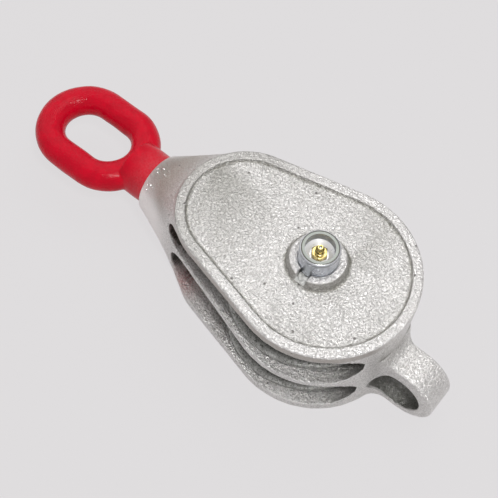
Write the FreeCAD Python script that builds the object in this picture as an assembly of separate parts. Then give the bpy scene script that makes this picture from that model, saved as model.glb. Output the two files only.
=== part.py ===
# Double sheave pulley block, lying on its rear cheek.
# The origin is where the sheave pin's axis meets the rear face. +Z runs along the pin to the
# front cheek, +X runs to the swivel eye, and the becket lug is on the -X side. Millimetres.
import FreeCAD, Part
import math
import os

V = FreeCAD.Vector
X_AXIS = V(1, 0, 0)
Y_AXIS = V(0, 1, 0)
Z_AXIS = V(0, 0, 1)

# Cheeks, partition and the slots between them
cheek_thickness = 9.5
partition_thickness = 6.0
slot_height = 39.5
cheek_overhang = 5.8
wide_end_x = -7.5
narrow_end_radius = 54.0
narrow_end_x = 66.5
cheek_edge_radius = 1.6
slot_head_x = 112.0
slot_head_corner = 17.0
slot_web_corner = 7.0
slot_mouth_corner = 17.5

# Raised rim and the bosses round the pin
rim_width = 8.0
panel_depth = 2.3
front_boss_base_radius = 23.5
front_boss_top_radius = 20.9
front_boss_height = 5.4
rear_boss_radius = 24.0
rear_boss_setback = 0.4
inner_boss_radius = 24.5
inner_boss_height = 1.0

# Conical head that carries the swivel
head_end_x = 157.0
head_end_radius = 26.0
head_lip_radius = 3.0
head_lip_slope = 25.0
head_front_step = 2.5
head_rear_step = 1.0
head_root_x = 84.0
head_root_inset = 0.4

# Sides of the partition and of the head, set in from the cheeks
partition_inset = 4.5
side_fade_length = 28.0
side_fade_drop = 4.8

# Becket lug
becket_standoff = 18.5
becket_radius = 28.3
becket_hole_radius = 20.0
becket_hole_drop = 2.7
becket_hole_shift = 2.2
becket_width = 27.6
becket_edge_radius = 2.0
becket_side_blend = 14.0
becket_top_blend = 11.0

# Sheaves
sheave_radius = 65.5
sheave_rim_gap = 2.25
sheave_rim_edge = 1.3
sheave_end_gap = 4.5
rope_diameter = 16.0
rope_groove_ease = 0.5
groove_depth = 15.0
groove_flank_angle = 30.0
sheave_rim_depth = 21.0
sheave_hub_radius = 27.0
sheave_web_thickness = 12.0
sheave_draft = 1.8

# Pin, bushes and washers
pin_radius = 15.0
pin_front_height = 20.5
pin_edge_radius = 1.8
cup_radius = 11.25
cup_wall_depth = 7.5
cup_floor_drop = 3.0
cup_seat_radius = 7.0
running_clearance = 0.04
pin_fit_clearance = 0.05
bush_wall = 4.0
bush_groove_width = 6.0
bush_groove_depth = 0.8
thrust_washer_thickness = 1.5
thrust_washer_radius = 23.0
thrust_washer_bore_clearance = 0.2
sheave_side_clearance = 0.2
grease_way_radius = 2.5
grease_cross_radius = 2.0
grease_way_overrun = 3.0

# Locking key in the slot of the front boss
key_slot_width = 9.0
key_clearance = 0.05
key_height = 1.8
key_outer_y = 22.3
key_notch_depth = 4.0
key_notch_headroom = 1.5
key_edge_chamfer = 0.5

# Rear end of the pin
rear_pocket_radius = 20.5
rear_pocket_depth = 4.6
end_washer_thickness = 1.5
end_washer_clearance = 0.1
end_washer_radius = 20.2
ring_thickness = 1.5
ring_groove_depth = 1.2
ring_groove_clearance = 0.05
ring_width = 3.2
ring_gap_angle = 36.0
ring_ear_radius = 2.0
ring_ear_hole_radius = 0.9

# Grease nipple
nipple_hole_radius = 4.6
nipple_thread_clearance = 0.05
nipple_stem_length = 7.5
nipple_hole_extra = 1.5
nipple_hex_flats = 11.0
nipple_turn = 5.5
nipple_hex_height = 4.2
nipple_hex_chamfer = 0.42
nipple_root_spread = 1.0
nipple_neck_radius = 2.6
nipple_neck_height = 2.4
nipple_neck_flare = 0.6
nipple_head_radius = 3.25
nipple_head_height = 4.6
nipple_head_rise = 1.2
nipple_head_band = 1.2
nipple_top_radius = 1.9
nipple_bore_radius = 1.56
nipple_mouth_radius = 1.2
nipple_lip_thickness = 0.8
nipple_feed_radius = 1.0
ball_radius = 1.5
spring_wire_radius = 0.25
spring_turns = 5.0
spring_clearance = 0.12
spring_seat_gap = 0.02
spring_ball_gap = 0.1

# Swivel eye
eye_bar_radius = 12.4
eye_half_width = 30.1
eye_straight_start_x = 211.6
eye_straight_length = 26.6
collar_radius = 22.1
collar_end_x = 182.5
collar_gap = 0.4
collar_edge_radius = 1.2
shank_radius = 15.0
shank_end_chamfer = 1.5
shank_tail = 2.0

# Swivel nut, bush and washer in the head
swivel_bush_wall = 4.5
swivel_bush_inset = 1.0
nut_room_clearance = 1.0
nut_room_tail = 4.0
swivel_washer_thickness = 4.5
swivel_washer_radius = 25.0
swivel_washer_clearance = 0.2
swivel_nut_clearance = 0.15
nut_flats = 46.0
nut_height = 26.0
nut_castle_height = 8.0
nut_castle_radius = 21.0
nut_slot_width = 6.5
nut_slot_depth = 7.5
nut_chamfer = 2.2
nut_thread_clearance = 0.05
split_pin_radius = 2.6
split_pin_hole_clearance = 0.2
split_pin_seat_gap = 0.3
split_pin_eye_radius = 1.5
split_pin_leg_radius = 1.3
split_pin_leg_length = 6.5
split_pin_end_overhang = 0.4

# How far a cutting shape runs past the face that it opens
overrun = 1.0

# Levels and places worked out from the sizes above
body_thickness = 2 * cheek_thickness + 2 * slot_height + partition_thickness
middle_z = body_thickness / 2
rear_slot_z = cheek_thickness + slot_height / 2
front_slot_z = body_thickness - cheek_thickness - slot_height / 2
slot_web_x = -(sheave_radius + sheave_end_gap)
wide_end_radius = sheave_radius + cheek_overhang
becket_x = wide_end_x - wide_end_radius - becket_standoff
slot_mouth_y = math.sqrt(wide_end_radius ** 2 - (slot_web_x - wide_end_x) ** 2)
head_lip_start_x = head_end_x - head_lip_radius * (1 - math.sin(math.radians(head_lip_slope)))
sheave_rim_width = slot_height - 2 * sheave_rim_gap
front_panel_z = body_thickness - panel_depth
front_boss_z = body_thickness + front_boss_height
pin_top_z = body_thickness + pin_front_height
cup_floor_z = pin_top_z - cup_wall_depth - cup_floor_drop
becket_z = becket_radius
becket_hole_z = becket_z - becket_hole_drop
becket_hole_x = becket_x + becket_hole_shift
hub_width = (slot_height - 2 * inner_boss_height - 2 * thrust_washer_thickness
             - 2 * sheave_side_clearance)
bush_outer_radius = pin_radius + bush_wall
ball_z = (cup_floor_z + nipple_hex_height + nipple_neck_height + nipple_head_height
          - nipple_lip_thickness - math.sqrt(ball_radius ** 2 - nipple_mouth_radius ** 2))
nut_front_x = slot_head_x - swivel_washer_thickness - swivel_nut_clearance
shank_tail_x = nut_front_x - nut_height - shank_tail
castle_x = nut_front_x - nut_height
split_pin_x = castle_x + nut_slot_depth / 2
split_pin_loop_reach = split_pin_eye_radius + 2 * split_pin_leg_radius
split_pin_loop_z = middle_z + nut_castle_radius + split_pin_seat_gap + split_pin_loop_reach
split_pin_leg_z = middle_z - nut_castle_radius - split_pin_seat_gap - split_pin_leg_radius
nut_room_radius = split_pin_loop_z + split_pin_loop_reach + nut_room_clearance - middle_z


def cylinder(radius, z0, z1, x=0.0, y=0.0):
    """Upright cylinder between two levels."""
    return Part.makeCylinder(radius, z1 - z0, V(x, y, z0), Z_AXIS)


def tube(outer, inner, z0, z1):
    """Upright tube round the pin axis between two levels."""
    return cylinder(outer, z0, z1).cut(cylinder(inner, z0 - overrun, z1 + overrun))


def cylinder_x(radius, x0, x1):
    """Cylinder along the swivel axis between two stations."""
    return Part.makeCylinder(radius, x1 - x0, V(x0, 0, middle_z), X_AXIS)


def box(x0, x1, y0, y1, z0, z1):
    """Box between two corners."""
    return Part.makeBox(x1 - x0, y1 - y0, z1 - z0, V(x0, y0, z0))


def cut_each(shape, tools):
    """Shape with each tool cut from it in turn."""
    for tool in tools:
        shape = shape.cut(tool)
    return shape


def wire_of(points):
    """Closed wire of straight lines through the points."""
    return Part.makePolygon(points + [points[0]])


def revolve_z(points):
    """Solid of revolution round the pin axis from (radius, z) points."""
    face = Part.Face(wire_of([V(r, 0, z) for r, z in points]))
    return face.revolve(V(0, 0, 0), Z_AXIS, 360)


def arc(center, radius, start, end, axis=Z_AXIS, ref=X_AXIS):
    """Arc edge in the plane through center, from start to end in degrees from ref."""
    side = axis.cross(ref)

    def at(angle):
        a = math.radians(angle)
        return center + ref * (radius * math.cos(a)) + side * (radius * math.sin(a))

    return Part.Arc(at(start), at((start + end) / 2), at(end)).toShape()


def end_edges(shape, z):
    """Edges of a shape that lie wholly in the level z."""
    return [e for e in shape.Edges
            if abs(e.BoundBox.ZMin - z) < 1e-4 and abs(e.BoundBox.ZMax - z) < 1e-4]


def outline_face(z, inset=0.0):
    """Cheek outline as a face: two round ends joined by their common tangents."""
    big = wide_end_radius - inset
    small = narrow_end_radius - inset
    tangent = math.degrees(math.acos((big - small) / (narrow_end_x - wide_end_x)))
    wide = arc(V(wide_end_x, 0, z), big, tangent, 360 - tangent)
    narrow = arc(V(narrow_end_x, 0, z), small, -tangent, tangent)
    ends = [e.valueAt(p) for e, p in ((wide, wide.FirstParameter), (wide, wide.LastParameter),
                                      (narrow, narrow.FirstParameter), (narrow, narrow.LastParameter))]
    upper = Part.makeLine(ends[3], ends[0])
    lower = Part.makeLine(ends[1], ends[2])
    return Part.Face(Part.Wire([wide, lower, narrow, upper]))


def cheek_block():
    """Full block of cheeks, partition and slots, with rounded face edges."""
    block = outline_face(0).extrude(V(0, 0, body_thickness))
    edges = end_edges(block, 0) + end_edges(block, body_thickness)
    return block.makeFillet(cheek_edge_radius, edges)


def head():
    """Head that flares from its round end to the narrow end of the cheeks."""
    low = head_rear_step
    high = body_thickness - head_front_step
    root_radius = narrow_end_radius - head_root_inset
    half = math.acos((head_root_x - narrow_end_x) / root_radius)
    sweep = math.degrees(half)
    root_y = root_radius * math.sin(half)
    center = V(head_lip_start_x, 0, middle_z)
    top_root = arc(V(narrow_end_x, 0, high), root_radius, sweep, -sweep)
    low_root = arc(V(narrow_end_x, 0, low), root_radius, sweep, -sweep)
    left_root = Part.makeLine(V(head_root_x, root_y, low), V(head_root_x, root_y, high))
    right_root = Part.makeLine(V(head_root_x, -root_y, low), V(head_root_x, -root_y, high))
    quarter = [arc(center, head_end_radius, a, b, X_AXIS, Y_AXIS)
               for a, b in ((45, 135), (-45, -135), (-45, 45), (225, 135))]
    top_end, low_end, left_end, right_end = quarter
    sides = [Part.makeRuledSurface(root, end) for root, end in
             ((top_root, top_end), (low_root, low_end), (left_root, left_end), (right_root, right_end))]
    top_chord = Part.makeLine(V(head_root_x, root_y, high), V(head_root_x, -root_y, high))
    low_chord = Part.makeLine(V(head_root_x, root_y, low), V(head_root_x, -root_y, low))
    caps = [Part.Face(Part.Wire([top_root, top_chord])), Part.Face(Part.Wire([low_root, low_chord])),
            Part.Face(Part.Wire([left_root, top_chord, right_root, low_chord])),
            Part.Face(Part.Wire(Part.sortEdges(quarter)[0]))]
    shell = Part.makeShell(sides + caps)
    shell.sewShape()
    solid = Part.makeSolid(shell)
    if solid.Volume < 0:
        solid.reverse()
    return solid


def head_lip():
    """Rounded end of the head, turned round the swivel axis."""
    slope = math.radians(head_lip_slope)
    turn_radius = head_end_radius - head_lip_radius * math.cos(slope)
    center = V(head_end_x - head_lip_radius, 0, middle_z + turn_radius)
    lip = arc(center, head_lip_radius, 90 - head_lip_slope, 0, Y_AXIS.negative(), X_AXIS)
    ends = [lip.valueAt(lip.FirstParameter), lip.valueAt(lip.LastParameter)]
    inner = [V(p.x, 0, middle_z) for p in ends]
    edges = [lip, Part.makeLine(ends[1], inner[1]), Part.makeLine(inner[1], inner[0]),
             Part.makeLine(inner[0], ends[0])]
    return Part.Face(Part.Wire(edges)).revolve(V(0, 0, middle_z), X_AXIS, 360)


def becket():
    """Becket lug: side profile and plan profile, each extruded, and what they share."""
    back_x = slot_web_x
    wall_x = wide_end_x - wide_end_radius
    top = 2 * becket_radius
    blend_top = top + becket_top_blend
    low_point = V(becket_x, 0, 0)
    side_edges = [
        Part.Arc(V(becket_x, 0, top), V(becket_x - becket_radius, 0, becket_z), low_point).toShape(),
        Part.makeLine(low_point, V(back_x, 0, 0)),
        Part.makeLine(V(back_x, 0, 0), V(back_x, 0, blend_top)),
        Part.makeLine(V(back_x, 0, blend_top), V(wall_x, 0, blend_top)),
        arc(V(wall_x - becket_top_blend, 0, blend_top), becket_top_blend, 0, 90, Y_AXIS, X_AXIS),
        Part.makeLine(V(wall_x - becket_top_blend, 0, top), V(becket_x, 0, top))]
    reach = 2 * becket_width
    side = Part.Face(Part.Wire(Part.sortEdges(side_edges)[0])).extrude(V(0, 2 * reach, 0))
    side.translate(V(0, -reach, 0))
    half = becket_width / 2
    blend_y = half + becket_side_blend
    flare_x = wide_end_x - math.sqrt((wide_end_radius + becket_side_blend) ** 2 - blend_y ** 2)
    toward = V(wide_end_x - flare_x, -blend_y, 0).normalize() * becket_side_blend
    touch = V(flare_x, blend_y, 0) + toward
    middle = (toward + V(0, -becket_side_blend, 0)).normalize() * becket_side_blend
    tip_x = becket_x - becket_radius - overrun
    plan_edges = []
    for s in (1, -1):
        tangent_point = V(flare_x, s * half, 0)
        blend_middle = V(flare_x + middle.x, s * (blend_y + middle.y), 0)
        touch_point = V(touch.x, s * touch.y, 0)
        plan_edges += [Part.makeLine(V(tip_x, s * half, 0), tangent_point),
                       Part.Arc(tangent_point, blend_middle, touch_point).toShape(),
                       Part.makeLine(touch_point, V(back_x + half, s * touch.y, 0))]
    plan_edges += [Part.makeLine(V(tip_x, half, 0), V(tip_x, -half, 0)),
                   Part.makeLine(V(back_x + half, touch.y, 0), V(back_x + half, -touch.y, 0))]
    plan = Part.Face(Part.Wire(Part.sortEdges(plan_edges)[0])).extrude(V(0, 0, blend_top))
    lug = side.common(plan)
    rounded = [e for e in lug.Edges if e.BoundBox.XMin < becket_x - becket_radius / 2
               and e.BoundBox.YLength < 0.01 and e.Length > becket_radius]
    lug = lug.makeFillet(becket_edge_radius, rounded)
    hole = Part.makeCylinder(becket_hole_radius, 2 * reach, V(becket_hole_x, -reach, becket_hole_z), Y_AXIS)
    return lug.cut(hole), hole


def slot_section(y, slot_z, web_corner):
    """Outline of a rope slot at one station across, with its two pairs of corners."""
    low = slot_z - slot_height / 2
    high = slot_z + slot_height / 2

    def corner(x, z, radius, start):
        return arc(V(x, y, z), radius, start, start + 90, Y_AXIS.negative(), X_AXIS)

    head = slot_head_x - slot_head_corner
    web = slot_web_x + web_corner
    corners = [corner(head, high - slot_head_corner, slot_head_corner, 0),
               corner(web, high - web_corner, web_corner, 90),
               corner(web, low + web_corner, web_corner, 180),
               corner(head, low + slot_head_corner, slot_head_corner, 270)]
    edges = []
    for this, after in zip(corners, corners[1:] + corners[:1]):
        edges += [this, Part.makeLine(this.valueAt(this.LastParameter), after.valueAt(after.FirstParameter))]
    return Part.Wire(edges)


def slot_tool(slot_z):
    """Rope slot from side to side, its web end tighter in the middle than at the mouths."""
    reach = 2 * wide_end_radius
    stations = [(-reach, slot_mouth_corner), (-slot_mouth_y, slot_mouth_corner), (0, slot_web_corner),
                (slot_mouth_y, slot_mouth_corner), (reach, slot_mouth_corner)]
    sections = [slot_section(y, slot_z, radius) for y, radius in stations]
    return Part.makeLoft(sections, True, True)


def side_reliefs():
    """Wedges that set both sides of the partition in from the cheeks, towards the head."""
    small = narrow_end_radius - partition_inset
    tangent = math.acos((wide_end_radius - small) / (narrow_end_x - wide_end_x))
    touch = V(narrow_end_x + small * math.cos(tangent), small * math.sin(tangent), cheek_thickness)
    slope = -1 / math.tan(tangent)
    start = V(wide_end_x, touch.y + slope * (wide_end_x - touch.x), cheek_thickness)
    knee = V(slot_head_x, touch.y + slope * (slot_head_x - touch.x), cheek_thickness)
    end = V(slot_head_x + side_fade_length, knee.y - side_fade_drop, cheek_thickness)
    outer = 2 * wide_end_radius
    face = Part.Face(wire_of([start, knee, end, V(end.x, outer, end.z), V(start.x, outer, start.z)]))
    left = face.extrude(V(0, 0, body_thickness - 2 * cheek_thickness))
    return [left, left.mirror(V(0, 0, 0), Y_AXIS)]


def inner_bosses():
    """Low machined pads round the pin on both walls of both slots."""
    pads = []
    for slot_z in (rear_slot_z, front_slot_z):
        low = slot_z - slot_height / 2
        high = slot_z + slot_height / 2
        pads.append(cylinder(inner_boss_radius, low - overrun, low + inner_boss_height))
        pads.append(cylinder(inner_boss_radius, high - inner_boss_height, high + overrun))
    return pads


def body_casting():
    """The one casting: cheeks, partition, web, becket and head."""
    lug, lug_hole = becket()
    body = cheek_block().fuse([head(), head_lip(), lug]).removeSplitter()
    recess_depth = panel_depth + overrun
    front_recess = outline_face(front_panel_z, rim_width).extrude(V(0, 0, recess_depth))
    rear_recess = outline_face(-overrun, rim_width).extrude(V(0, 0, recess_depth))
    front_boss = Part.makeCone(front_boss_base_radius, front_boss_top_radius,
                               front_boss_z - front_panel_z, V(0, 0, front_panel_z))
    rear_boss = cylinder(rear_boss_radius, rear_boss_setback, panel_depth)
    body = cut_each(body, [front_recess, rear_recess]).fuse([front_boss, rear_boss])
    body = cut_each(body, side_reliefs() + [slot_tool(rear_slot_z), slot_tool(front_slot_z), lug_hole])
    body = body.fuse(inner_bosses())
    nut_room = cylinder_x(nut_room_radius, shank_tail_x - nut_room_tail, slot_head_x)
    swivel_bore = cylinder_x(shank_radius + swivel_bush_wall, slot_head_x - overrun,
                             head_end_x + overrun)
    boss_top = front_boss_z + overrun
    pin_bore = cylinder(pin_radius + pin_fit_clearance, -overrun, boss_top)
    rear_pocket = cylinder(rear_pocket_radius, -overrun, rear_pocket_depth)
    half = key_slot_width / 2
    key_slot = box(-half, half, 0, front_boss_base_radius + overrun, front_panel_z, boss_top)
    tools = [nut_room, swivel_bore, pin_bore, rear_pocket, key_slot]
    return cut_each(body, tools).removeSplitter()


def rim_edges(shape, radius):
    """Full circles of a radius round the pin axis."""
    circles = [e for e in shape.Edges if isinstance(e.Curve, Part.Circle)]
    return [e for e in circles if abs(e.Curve.Radius - radius) < 1e-4]


def sheave(z):
    """Cast sheave with a U groove, a thin web and a wide hub."""
    seat = rope_diameter / 2 + rope_groove_ease
    flank = math.radians(groove_flank_angle)
    seat_r = sheave_radius - groove_depth + seat
    join_r = seat_r - seat * math.sin(flank)
    join_z = seat * math.cos(flank)
    mouth_z = join_z + (sheave_radius - join_r) * math.tan(flank)
    half_rim = sheave_rim_width / 2
    half_hub = hub_width / 2
    half_web = sheave_web_thickness / 2
    rim_r = sheave_radius - sheave_rim_depth
    lower = [(bush_outer_radius, -half_hub), (sheave_hub_radius, -half_hub),
             (sheave_hub_radius + sheave_draft, -half_web), (rim_r - sheave_draft, -half_web),
             (rim_r, -half_rim), (sheave_radius, -half_rim), (sheave_radius, -mouth_z),
             (join_r, -join_z)]
    points = [V(r, 0, z + h) for r, h in lower]
    mirrored = [V(r, 0, z - h) for r, h in reversed(lower)]
    edges = [Part.makeLine(a, b) for a, b in zip(points, points[1:])]
    edges.append(Part.Arc(points[-1], V(seat_r - seat, 0, z), mirrored[0]).toShape())
    edges += [Part.makeLine(a, b) for a, b in zip(mirrored, mirrored[1:])]
    edges.append(Part.makeLine(mirrored[-1], points[0]))
    wheel = Part.Face(Part.Wire(edges)).revolve(V(0, 0, 0), Z_AXIS, 360)
    return wheel.makeFillet(sheave_rim_edge, rim_edges(wheel, sheave_radius))


def sheave_bush(z):
    """Plain bush pressed in a sheave, with a grease groove inside."""
    bore = pin_radius + running_clearance
    half = hub_width / 2
    ring = tube(bush_outer_radius, bore, z - half, z + half)
    groove = cylinder(bore + bush_groove_depth, z - bush_groove_width / 2, z + bush_groove_width / 2)
    return ring.cut(groove)


def thrust_washer(z_low):
    """Washer between a sheave and the pad beside it."""
    bore = pin_radius + thrust_washer_bore_clearance
    return tube(thrust_washer_radius, bore, z_low, z_low + thrust_washer_thickness)


def sheave_pin():
    """Pin with a cup for the nipple, grease ways, key notch and ring groove."""
    bar = cylinder(pin_radius, 0, pin_top_z)
    bar = bar.makeFillet(pin_edge_radius, end_edges(bar, pin_top_z))
    bar = bar.makeChamfer(rear_boss_setback, end_edges(bar, 0))
    cup = revolve_z([(0, pin_top_z + overrun), (cup_radius, pin_top_z + overrun),
                     (cup_radius, pin_top_z - cup_wall_depth), (cup_seat_radius, cup_floor_z),
                     (0, cup_floor_z)])
    hole_end = cup_floor_z - nipple_stem_length - nipple_hole_extra
    thread_hole = cylinder(nipple_hole_radius, hole_end, cup_floor_z + overrun)
    long_way = cylinder(grease_way_radius, rear_slot_z - grease_way_overrun, hole_end + overrun)
    half_cross = pin_radius + overrun
    cross_ways = [Part.makeCylinder(grease_cross_radius, 2 * half_cross, V(-half_cross, 0, z), X_AXIS)
                  for z in (rear_slot_z, front_slot_z)]
    half = key_slot_width / 2
    notch = box(-half, half, pin_radius - key_notch_depth, pin_radius + overrun, front_panel_z,
                front_panel_z + key_height + key_notch_headroom)
    groove_high = rear_pocket_depth - end_washer_thickness
    groove_low = groove_high - ring_thickness - ring_groove_clearance
    groove = tube(pin_radius + overrun, pin_radius - ring_groove_depth, groove_low, groove_high)
    return cut_each(bar, [cup, thread_hole, long_way, notch, groove] + cross_ways)


def pin_lock_key():
    """Square key that seats in the boss slot and in the pin's notch."""
    half = key_slot_width / 2 - key_clearance
    inner_y = pin_radius - key_notch_depth + key_clearance
    key = box(-half, half, inner_y, key_outer_y, front_panel_z, front_panel_z + key_height)
    return key.makeChamfer(key_edge_chamfer, end_edges(key, front_panel_z + key_height))


def pin_end_washer():
    """Washer in the rear pocket that the retaining ring bears on."""
    low = rear_pocket_depth - end_washer_thickness
    return tube(end_washer_radius, pin_radius + end_washer_clearance, low, rear_pocket_depth)


def pin_retaining_ring():
    """Open ring with two eared ends, sprung into the pin's groove."""
    high = rear_pocket_depth - end_washer_thickness
    low = high - ring_thickness
    inner = pin_radius - ring_groove_depth + ring_groove_clearance
    outer = inner + ring_width
    ring = tube(outer, inner, low, high)
    half_gap = math.radians(ring_gap_angle / 2)
    far = 2 * outer
    below = low - overrun
    above = high + overrun
    gap = wire_of([V(0, 0, below), V(far * math.cos(half_gap), far * math.sin(half_gap), below),
                   V(far * math.cos(half_gap), -far * math.sin(half_gap), below)])
    ring = ring.cut(Part.Face(gap).extrude(V(0, 0, above - below)))
    ear_r = outer - ring_ear_radius / 2
    ear_angle = half_gap + ring_ear_radius / ear_r
    places = [(ear_r * math.cos(a), ear_r * math.sin(a)) for a in (ear_angle, -ear_angle)]
    ears = [cylinder(ring_ear_radius, low, high, x, y) for x, y in places]
    holes = [cylinder(ring_ear_hole_radius, below, above, x, y) for x, y in places]
    ring = ring.fuse([ear.cut(cylinder(inner, below, above)) for ear in ears])
    return cut_each(ring, holes).removeSplitter()


def hexagon(flats, x, y, z, axis=Z_AXIS, ref=X_AXIS):
    """Hexagonal face across flats, square to axis."""
    side = axis.cross(ref)
    corner = flats / math.sqrt(3)
    points = [V(x, y, z) + ref * (corner * math.cos(math.radians(60 * i)))
              + side * (corner * math.sin(math.radians(60 * i))) for i in range(6)]
    return Part.Face(wire_of(points))


def grease_nipple():
    """Nipple body: threaded stem, hexagon, neck and ball-fronted head."""
    z0 = cup_floor_z
    hex_top = z0 + nipple_hex_height
    neck_top = hex_top + nipple_neck_height
    top = neck_top + nipple_head_height
    stem_radius = nipple_hole_radius - nipple_thread_clearance
    stem = cylinder(stem_radius, z0 - nipple_stem_length, z0)
    corner = nipple_hex_flats / math.sqrt(3)
    chamfer_body = revolve_z([(0, z0), (corner, z0), (corner, hex_top - nipple_hex_chamfer),
                              (nipple_hex_flats / 2 - nipple_hex_chamfer, hex_top), (0, hex_top)])
    hexagonal = hexagon(nipple_hex_flats, 0, 0, z0).extrude(V(0, 0, nipple_hex_height))
    hexagonal.rotate(V(0, 0, 0), Z_AXIS, nipple_turn)
    head_low = neck_top + nipple_head_rise
    upper = revolve_z([(0, z0), (nipple_neck_radius + nipple_root_spread, hex_top),
                       (nipple_neck_radius, hex_top + nipple_neck_flare),
                       (nipple_neck_radius, neck_top), (nipple_head_radius, head_low),
                       (nipple_head_radius, head_low + nipple_head_band), (nipple_top_radius, top),
                       (0, top)])
    body = stem.fuse([hexagonal.common(chamfer_body), upper])
    lip = top - nipple_lip_thickness
    bore = cylinder(nipple_bore_radius, z0, lip)
    mouth = cylinder(nipple_mouth_radius, lip - overrun, top + overrun)
    feed = cylinder(nipple_feed_radius, z0 - nipple_stem_length - overrun, z0 + overrun)
    return cut_each(body, [bore, mouth, feed]).removeSplitter()


def nipple_ball():
    """Check ball that closes the mouth of the nipple."""
    return Part.makeSphere(ball_radius, V(0, 0, ball_z))


def nipple_spring():
    """Coil spring that holds the check ball on its seat."""
    coil_radius = nipple_bore_radius - spring_clearance - spring_wire_radius
    contact_z = ball_z - math.sqrt(ball_radius ** 2 - coil_radius ** 2)
    low = cup_floor_z + spring_wire_radius + spring_seat_gap
    high = contact_z - spring_wire_radius - spring_ball_gap
    path = Part.makeHelix((high - low) / spring_turns, high - low, coil_radius)
    path.translate(V(0, 0, low))
    start = path.Edges[0].valueAt(path.Edges[0].FirstParameter)
    tangent = path.Edges[0].tangentAt(path.Edges[0].FirstParameter)
    section = Part.Wire(Part.Circle(start, tangent, spring_wire_radius).toShape())
    return Part.Wire(path.Edges).makePipeShell([section], True, True)


def eye_ring():
    """Oval ring: a round bar bent along two straights and two half circles."""
    end_x = eye_straight_start_x + eye_straight_length
    parts = []
    for x, turn in ((eye_straight_start_x, 90), (end_x, -90)):
        bend = Part.makeTorus(eye_half_width, eye_bar_radius, V(0, 0, 0), Z_AXIS, 0, 360, 180)
        bend.rotate(V(0, 0, 0), Z_AXIS, turn)
        bend.translate(V(x, 0, middle_z))
        parts.append(bend)
    for y in (eye_half_width, -eye_half_width):
        parts.append(Part.makeCylinder(eye_bar_radius, eye_straight_length,
                                       V(eye_straight_start_x, y, middle_z), X_AXIS))
    return parts[0].fuse(parts[1:]).removeSplitter()


def swivel_eye():
    """Forged eye: ring, collar and the shank that passes through the head."""
    collar_start = head_end_x + collar_gap
    collar = cylinder_x(collar_radius, collar_start, collar_end_x)
    rims = [e for e in collar.Edges if e.BoundBox.XMin > collar_end_x - collar_edge_radius]
    collar = collar.makeFillet(collar_edge_radius, rims)
    shank = cylinder_x(shank_radius, shank_tail_x, collar_start + overrun)
    tail = [e for e in shank.Edges if e.BoundBox.XMax < shank_tail_x + overrun]
    shank = shank.makeChamfer(shank_end_chamfer, tail)
    eye = eye_ring().fuse([collar, shank]).removeSplitter()
    hole = Part.makeCylinder(split_pin_radius + split_pin_hole_clearance, 4 * shank_radius,
                             V(split_pin_x, 0, middle_z - 2 * shank_radius), Z_AXIS)
    return eye.cut(hole)


def swivel_bush():
    """Bush in the head that the shank turns in."""
    outer = shank_radius + swivel_bush_wall
    start = slot_head_x + swivel_bush_inset
    end = head_end_x - swivel_bush_inset
    bore = cylinder_x(shank_radius + running_clearance, start - overrun, end + overrun)
    return cylinder_x(outer, start, end).cut(bore)


def swivel_thrust_washer():
    """Hardened washer between the nut and the seat in the head."""
    start = slot_head_x - swivel_washer_thickness
    washer = cylinder_x(swivel_washer_radius, start, slot_head_x)
    bore = cylinder_x(shank_radius + swivel_washer_clearance, start - overrun, slot_head_x + overrun)
    return washer.cut(bore)


def swivel_nut():
    """Castle nut with its slotted crown towards the sheaves."""
    corner = nut_flats / math.sqrt(3)
    crown_x = castle_x + nut_castle_height
    blank = hexagon(nut_flats, crown_x, 0, middle_z, X_AXIS, Y_AXIS)
    blank = blank.extrude(V(nut_front_x - crown_x, 0, 0))
    cone = Part.makeCone(nut_flats / 2, corner + nut_chamfer, (corner + nut_chamfer - nut_flats / 2) / 2,
                         V(crown_x, 0, middle_z), X_AXIS)
    cone_end = crown_x + (corner + nut_chamfer - nut_flats / 2) / 2
    blank = blank.common(cone.fuse(cylinder_x(corner + nut_chamfer, cone_end, nut_front_x)))
    nut = blank.fuse(cylinder_x(nut_castle_radius, castle_x, crown_x)).removeSplitter()
    nut = nut.cut(cylinder_x(shank_radius + nut_thread_clearance, castle_x - overrun,
                             nut_front_x + overrun))
    half = nut_slot_width / 2
    slots = []
    for i in range(3):
        slot = box(castle_x - overrun, castle_x + nut_slot_depth, -half, half, -2 * corner, 2 * corner)
        slot.rotate(V(0, 0, 0), X_AXIS, 60 * i)
        slot.translate(V(0, 0, middle_z))
        slots.append(slot)
    return cut_each(nut, slots)


def swivel_split_pin():
    """Split pin through nut and shank, its loop on one side and bent legs on the other."""
    low = split_pin_leg_z - split_pin_leg_radius - split_pin_end_overhang
    high = split_pin_loop_z - split_pin_eye_radius - split_pin_leg_radius
    stem = Part.makeCylinder(split_pin_radius, high - low, V(split_pin_x, 0, low), Z_AXIS)
    loop = Part.makeTorus(split_pin_eye_radius + split_pin_leg_radius, split_pin_leg_radius,
                          V(split_pin_x, 0, split_pin_loop_z), Y_AXIS)
    legs = [Part.makeCylinder(split_pin_leg_radius, split_pin_leg_length,
                              V(split_pin_x, 0, split_pin_leg_z), V(0, s, 0)) for s in (1, -1)]
    return stem.fuse([loop] + legs).removeSplitter()


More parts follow.
